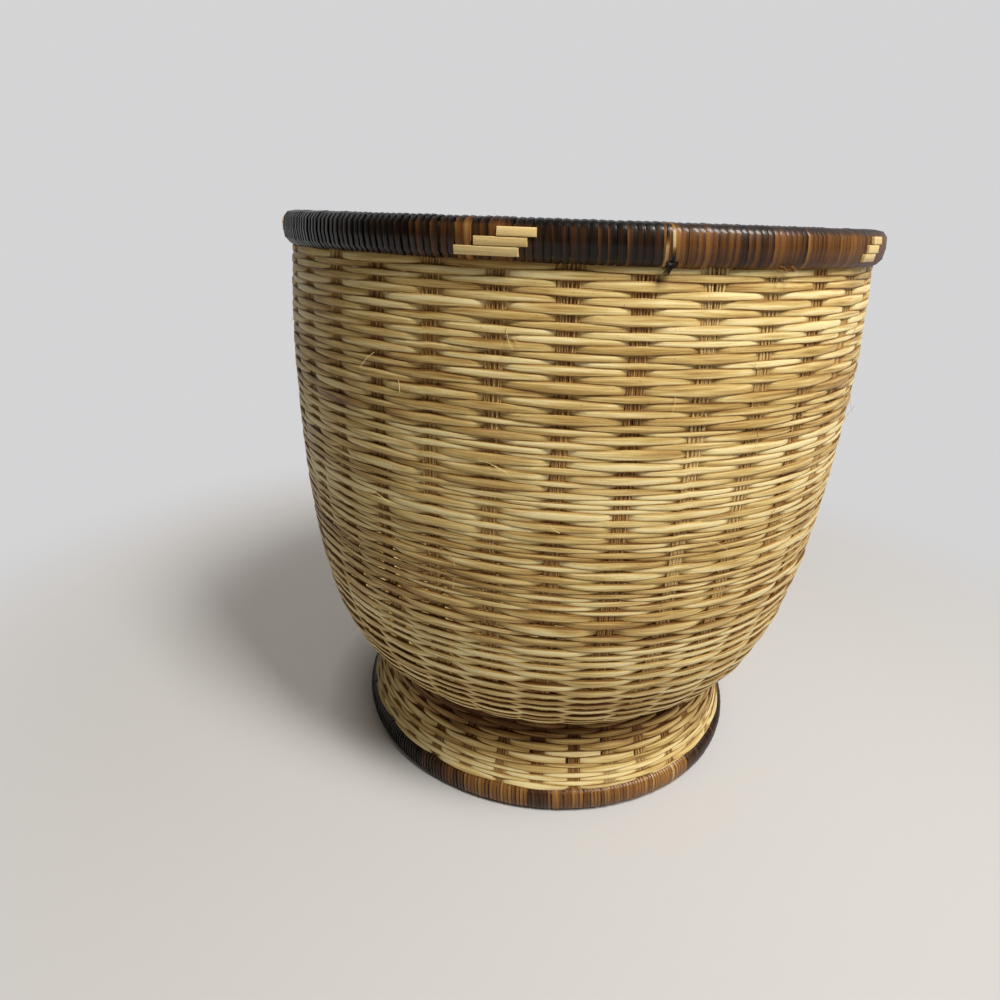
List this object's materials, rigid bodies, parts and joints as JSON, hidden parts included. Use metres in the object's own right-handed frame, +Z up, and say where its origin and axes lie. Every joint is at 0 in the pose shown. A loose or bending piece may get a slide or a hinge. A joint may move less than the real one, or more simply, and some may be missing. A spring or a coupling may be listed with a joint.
{
  "type": "pedestal wicker basket",
  "caption": "Deep round woven bowl on a low flared woven foot, with flat bundled stakes, cane-bound rim and foot hoops and pale stepped inlays in the rim.",
  "frame": {"origin": "middle of the flat face of the foot binding that stands on the floor, on the basket's axis", "axes": "+Z up along the axis of the bowl; -Y faces the viewer, with the first rim inlay just left of the middle; +X to the right"},
  "size_m": [0.3004, 0.3004, 0.298],
  "materials": {
    "stake_cane": "satin split cane, tan to reddish brown",
    "weaver_straw": "satin peeled cane, straw coloured",
    "hoop_wood": "matt split hoop",
    "binding_cane": "glossy scorched cane, near black to golden brown",
    "inlay_cane": "satin pale cane",
    "spoke_cane": "matt flat cane"
  },
  "bodies": {
    "root": {"stake_01": "stake_cane", "stake_02": "stake_cane", "stake_03": "stake_cane", "stake_04": "stake_cane", "stake_05": "stake_cane", "stake_06": "stake_cane", "stake_07": "stake_cane", "stake_08": "stake_cane", "stake_09": "stake_cane", "stake_10": "stake_cane", "stake_11": "stake_cane", "stake_12": "stake_cane", "stake_13": "stake_cane", "stake_14": "stake_cane", "stake_15": "stake_cane", "stake_16": "stake_cane", "stake_17": "stake_cane", "stake_18": "stake_cane", "stake_19": "stake_cane", "stake_20": "stake_cane", "stake_21": "stake_cane", "stake_22": "stake_cane", "stake_23": "stake_cane", "stake_24": "stake_cane", "stake_25": "stake_cane", "stake_26": "stake_cane", "stake_27": "stake_cane", "stake_28": "stake_cane", "stake_29": "stake_cane", "stake_30": "stake_cane", "stake_31": "stake_cane", "stake_32": "stake_cane", "stake_33": "stake_cane", "stake_34": "stake_cane", "stake_35": "stake_cane", "bowl_weave": "weaver_straw", "foot_weave": "weaver_straw", "base_weave": "weaver_straw", "rim_inner_hoop": "hoop_wood", "rim_outer_hoop": "hoop_wood", "foot_inner_hoop": "hoop_wood", "foot_outer_hoop": "hoop_wood", "rim_binding": "binding_cane", "foot_binding": "binding_cane", "rim_inlay_1": "inlay_cane", "rim_inlay_2": "inlay_cane", "rim_inlay_3": "inlay_cane", "rim_inlay_4": "inlay_cane", "rim_inlay_5": "inlay_cane", "rim_inlay_6": "inlay_cane", "base_spoke_lower_1": "spoke_cane", "base_spoke_lower_2": "spoke_cane", "base_spoke_lower_3": "spoke_cane", "base_spoke_lower_4": "spoke_cane", "base_spoke_upper_1": "spoke_cane", "base_spoke_upper_2": "spoke_cane", "base_spoke_upper_3": "spoke_cane", "base_spoke_upper_4": "spoke_cane"}
  },
  "joints": []
}
